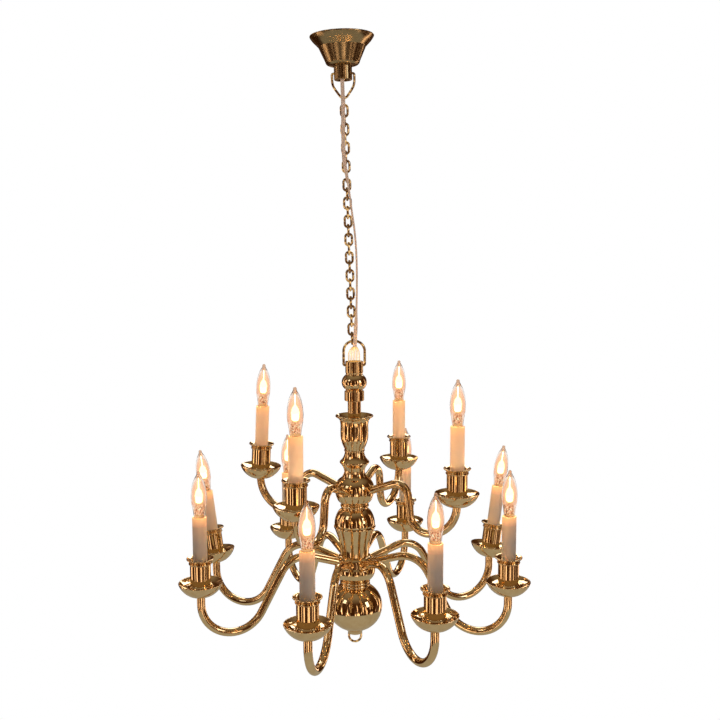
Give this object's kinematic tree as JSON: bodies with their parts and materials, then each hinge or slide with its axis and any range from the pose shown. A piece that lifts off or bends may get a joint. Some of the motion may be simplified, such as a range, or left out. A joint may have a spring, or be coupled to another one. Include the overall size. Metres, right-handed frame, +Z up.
{
  "type": "miniature chandelier",
  "caption": "Dolls house chandelier: two tiers of S-curved arms with candle lights and flame-tip bulbs on a turned stem, hung by a fine link chain from a ceiling canopy",
  "frame": {"origin": "middle of the ceiling face of the canopy", "axes": "+Z up, -Y front; the bails swing about X"},
  "size_m": [0.0703, 0.0708, 0.1251],
  "materials": {
    "polished_brass": "polished",
    "candle_sleeve": "satin, off-white",
    "bulb_glass": "clear",
    "lead_insulation": "clear insulation over fine wire"
  },
  "bodies": {
    "canopy": {"canopy_plate": "polished_brass", "canopy_shell": "polished_brass", "canopy_neck": "polished_brass", "lead_wire": "lead_insulation"},
    "canopy_bail": {"canopy_bail": "polished_brass"},
    "link_01": {"chain_link_01": "polished_brass"},
    "link_02": {"chain_link_02": "polished_brass"},
    "link_03": {"chain_link_03": "polished_brass"},
    "link_04": {"chain_link_04": "polished_brass"},
    "link_05": {"chain_link_05": "polished_brass"},
    "link_06": {"chain_link_06": "polished_brass"},
    "link_07": {"chain_link_07": "polished_brass"},
    "link_08": {"chain_link_08": "polished_brass"},
    "link_09": {"chain_link_09": "polished_brass"},
    "link_10": {"chain_link_10": "polished_brass"},
    "link_11": {"chain_link_11": "polished_brass"},
    "link_12": {"chain_link_12": "polished_brass"},
    "link_13": {"chain_link_13": "polished_brass"},
    "link_14": {"chain_link_14": "polished_brass"},
    "link_15": {"chain_link_15": "polished_brass"},
    "link_16": {"chain_link_16": "polished_brass"},
    "link_17": {"chain_link_17": "polished_brass"},
    "link_18": {"chain_link_18": "polished_brass"},
    "link_19": {"chain_link_19": "polished_brass"},
    "link_20": {"chain_link_20": "polished_brass"},
    "link_21": {"chain_link_21": "polished_brass"},
    "link_22": {"chain_link_22": "polished_brass"},
    "link_23": {"chain_link_23": "polished_brass"},
    "link_24": {"chain_link_24": "polished_brass"},
    "link_25": {"chain_link_25": "polished_brass"},
    "link_26": {"chain_link_26": "polished_brass"},
    "link_27": {"chain_link_27": "polished_brass"},
    "stem_bail": {"stem_bail": "polished_brass"},
    "fixture": {"stem_core": "polished_brass", "stem_vase": "polished_brass", "stem_knop": "polished_brass", "upper_hub": "polished_brass", "upper_ball": "polished_brass", "lower_vase": "polished_brass", "lower_hub": "polished_brass", "lower_ball": "polished_brass", "finial_ring": "polished_brass", "upper_arms": "polished_brass", "lower_arms": "polished_brass", "drip_pans": "polished_brass", "candle_cups": "polished_brass", "candle_sleeves": "candle_sleeve"},
    "bulb_upper_1": {"bulb_upper_1": "bulb_glass"},
    "bulb_upper_2": {"bulb_upper_2": "bulb_glass"},
    "bulb_upper_3": {"bulb_upper_3": "bulb_glass"},
    "bulb_upper_4": {"bulb_upper_4": "bulb_glass"},
    "bulb_lower_1": {"bulb_lower_1": "bulb_glass"},
    "bulb_lower_2": {"bulb_lower_2": "bulb_glass"},
    "bulb_lower_3": {"bulb_lower_3": "bulb_glass"},
    "bulb_lower_4": {"bulb_lower_4": "bulb_glass"},
    "bulb_lower_5": {"bulb_lower_5": "bulb_glass"},
    "bulb_lower_6": {"bulb_lower_6": "bulb_glass"},
    "bulb_lower_7": {"bulb_lower_7": "bulb_glass"},
    "bulb_lower_8": {"bulb_lower_8": "bulb_glass"}
  },
  "joints": [
    {"name": "bail_canopy_swing", "type": "hinge", "parent": "canopy", "child": "canopy_bail", "pos_m": [0, 0, -0.0073], "axis": [-1, 0, 0], "range_deg": [-45, 45], "deforming": ["lead_wire"]},
    {"name": "bail_stem_swing", "type": "hinge", "parent": "link_27", "child": "stem_bail", "pos_m": [0, 0, -0.06128], "axis": [0, -1, 0], "range_deg": [-40, 40], "deforming": ["lead_wire"]},
    {"name": "body_swing", "type": "hinge", "parent": "stem_bail", "child": "fixture", "pos_m": [0.00025, 0, -0.06572], "axis": [-0.9995, 0, 0.0305], "range_deg": [-45, 45], "deforming": ["lead_wire"]},
    {"name": "pull_bulb_upper_1", "type": "slide", "parent": "fixture", "child": "bulb_upper_1", "axis": [0.0305, 0, 0.9995], "range_m": [0, 0.004]},
    {"name": "pull_bulb_upper_2", "type": "slide", "parent": "fixture", "child": "bulb_upper_2", "axis": [0.0305, 0, 0.9995], "range_m": [0, 0.004]},
    {"name": "pull_bulb_upper_3", "type": "slide", "parent": "fixture", "child": "bulb_upper_3", "axis": [0.0305, 0, 0.9995], "range_m": [0, 0.004]},
    {"name": "pull_bulb_upper_4", "type": "slide", "parent": "fixture", "child": "bulb_upper_4", "axis": [0.0767, -0.0246, 0.9968], "range_m": [0, 0.004]},
    {"name": "pull_bulb_lower_1", "type": "slide", "parent": "fixture", "child": "bulb_lower_1", "axis": [0.0305, 0, 0.9995], "range_m": [0, 0.004]},
    {"name": "pull_bulb_lower_2", "type": "slide", "parent": "fixture", "child": "bulb_lower_2", "axis": [0.0305, 0, 0.9995], "range_m": [0, 0.004]},
    {"name": "pull_bulb_lower_3", "type": "slide", "parent": "fixture", "child": "bulb_lower_3", "axis": [0.0305, 0, 0.9995], "range_m": [0, 0.004]},
    {"name": "pull_bulb_lower_4", "type": "slide", "parent": "fixture", "child": "bulb_lower_4", "axis": [0.1583, 0.0544, 0.9859], "range_m": [0, 0.004]},
    {"name": "pull_bulb_lower_5", "type": "slide", "parent": "fixture", "child": "bulb_lower_5", "axis": [0.0305, 0, 0.9995], "range_m": [0, 0.004]},
    {"name": "pull_bulb_lower_6", "type": "slide", "parent": "fixture", "child": "bulb_lower_6", "axis": [0.0305, 0, 0.9995], "range_m": [0, 0.004]},
    {"name": "pull_bulb_lower_7", "type": "slide", "parent": "fixture", "child": "bulb_lower_7", "axis": [-0.1005, 0.0476, 0.9938], "range_m": [0, 0.004]},
    {"name": "pull_bulb_lower_8", "type": "slide", "parent": "fixture", "child": "bulb_lower_8", "axis": [0.0305, 0, 0.9995], "range_m": [0, 0.004]},
    {"name": "chain_swing_01", "type": "hinge", "parent": "canopy_bail", "child": "link_01", "pos_m": [0, 0, -0.01206], "axis": [1, 0, 0], "range_deg": [-40, 40], "deforming": ["lead_wire"]},
    {"name": "chain_swing_02", "type": "hinge", "parent": "link_01", "child": "link_02", "pos_m": [0, 0, -0.01388], "axis": [0, 1, 0], "range_deg": [-40, 40], "deforming": ["lead_wire"]},
    {"name": "chain_swing_03", "type": "hinge", "parent": "link_02", "child": "link_03", "pos_m": [0, 0, -0.0157], "axis": [-1, 0, 0], "range_deg": [-40, 40], "deforming": ["lead_wire"]},
    {"name": "chain_swing_04", "type": "hinge", "parent": "link_03", "child": "link_04", "pos_m": [0, 0, -0.01753], "axis": [0, -1, 0], "range_deg": [-40, 40], "deforming": ["lead_wire"]},
    {"name": "chain_swing_05", "type": "hinge", "parent": "link_04", "child": "link_05", "pos_m": [0, 0, -0.01935], "axis": [1, 0, 0], "range_deg": [-40, 40], "deforming": ["lead_wire"]},
    {"name": "chain_swing_06", "type": "hinge", "parent": "link_05", "child": "link_06", "pos_m": [0, 0, -0.02117], "axis": [0, 1, 0], "range_deg": [-40, 40], "deforming": ["lead_wire"]},
    {"name": "chain_swing_07", "type": "hinge", "parent": "link_06", "child": "link_07", "pos_m": [0, 0, -0.02299], "axis": [-1, 0, 0], "range_deg": [-40, 40], "deforming": ["lead_wire"]},
    {"name": "chain_swing_08", "type": "hinge", "parent": "link_07", "child": "link_08", "pos_m": [0, 0, -0.02482], "axis": [0, -1, 0], "range_deg": [-40, 40], "deforming": ["lead_wire"]},
    {"name": "chain_swing_09", "type": "hinge", "parent": "link_08", "child": "link_09", "pos_m": [0, 0, -0.02664], "axis": [1, 0, 0], "range_deg": [-40, 40], "deforming": ["lead_wire"]},
    {"name": "chain_swing_10", "type": "hinge", "parent": "link_09", "child": "link_10", "pos_m": [0, 0, -0.02846], "axis": [0, 1, 0], "range_deg": [-40, 40], "deforming": ["lead_wire"]},
    {"name": "chain_swing_11", "type": "hinge", "parent": "link_10", "child": "link_11", "pos_m": [0, 0, -0.03029], "axis": [-1, 0, 0], "range_deg": [-40, 40], "deforming": ["lead_wire"]},
    {"name": "chain_swing_12", "type": "hinge", "parent": "link_11", "child": "link_12", "pos_m": [0, 0, -0.03211], "axis": [0, -1, 0], "range_deg": [-40, 40], "deforming": ["lead_wire"]},
    {"name": "chain_swing_13", "type": "hinge", "parent": "link_12", "child": "link_13", "pos_m": [0, 0, -0.03393], "axis": [1, 0, 0], "range_deg": [-40, 40], "deforming": ["lead_wire"]},
    {"name": "chain_swing_14", "type": "hinge", "parent": "link_13", "child": "link_14", "pos_m": [0, 0, -0.03575], "axis": [0, 1, 0], "range_deg": [-40, 40], "deforming": ["lead_wire"]},
    {"name": "chain_swing_15", "type": "hinge", "parent": "link_14", "child": "link_15", "pos_m": [0, 0, -0.03758], "axis": [-1, 0, 0], "range_deg": [-40, 40], "deforming": ["lead_wire"]},
    {"name": "chain_swing_16", "type": "hinge", "parent": "link_15", "child": "link_16", "pos_m": [0, 0, -0.0394], "axis": [0, -1, 0], "range_deg": [-40, 40], "deforming": ["lead_wire"]},
    {"name": "chain_swing_17", "type": "hinge", "parent": "link_16", "child": "link_17", "pos_m": [0, 0, -0.04122], "axis": [1, 0, 0], "range_deg": [-40, 40], "deforming": ["lead_wire"]},
    {"name": "chain_swing_18", "type": "hinge", "parent": "link_17", "child": "link_18", "pos_m": [0, 0, -0.04305], "axis": [0, 1, 0], "range_deg": [-40, 40], "deforming": ["lead_wire"]},
    {"name": "chain_swing_19", "type": "hinge", "parent": "link_18", "child": "link_19", "pos_m": [0, 0, -0.04487], "axis": [-1, 0, 0], "range_deg": [-40, 40], "deforming": ["lead_wire"]},
    {"name": "chain_swing_20", "type": "hinge", "parent": "link_19", "child": "link_20", "pos_m": [0, 0, -0.04669], "axis": [0, -1, 0], "range_deg": [-40, 40], "deforming": ["lead_wire"]},
    {"name": "chain_swing_21", "type": "hinge", "parent": "link_20", "child": "link_21", "pos_m": [0, 0, -0.04851], "axis": [1, 0, 0], "range_deg": [-40, 40], "deforming": ["lead_wire"]},
    {"name": "chain_swing_22", "type": "hinge", "parent": "link_21", "child": "link_22", "pos_m": [0, 0, -0.05034], "axis": [0, 1, 0], "range_deg": [-40, 40], "deforming": ["lead_wire"]},
    {"name": "chain_swing_23", "type": "hinge", "parent": "link_22", "child": "link_23", "pos_m": [0, 0, -0.05216], "axis": [-1, 0, 0], "range_deg": [-40, 40], "deforming": ["lead_wire"]},
    {"name": "chain_swing_24", "type": "hinge", "parent": "link_23", "child": "link_24", "pos_m": [0, 0, -0.05398], "axis": [0, -1, 0], "range_deg": [-40, 40], "deforming": ["lead_wire"]},
    {"name": "chain_swing_25", "type": "hinge", "parent": "link_24", "child": "link_25", "pos_m": [0, 0, -0.05581], "axis": [1, 0, 0], "range_deg": [-40, 40], "deforming": ["lead_wire"]},
    {"name": "chain_swing_26", "type": "hinge", "parent": "link_25", "child": "link_26", "pos_m": [0, 0, -0.05763], "axis": [0, 1, 0], "range_deg": [-40, 40], "deforming": ["lead_wire"]},
    {"name": "chain_swing_27", "type": "hinge", "parent": "link_26", "child": "link_27", "pos_m": [0, 0, -0.05945], "axis": [-1, 0, 0], "range_deg": [-40, 40], "deforming": ["lead_wire"]}
  ]
}
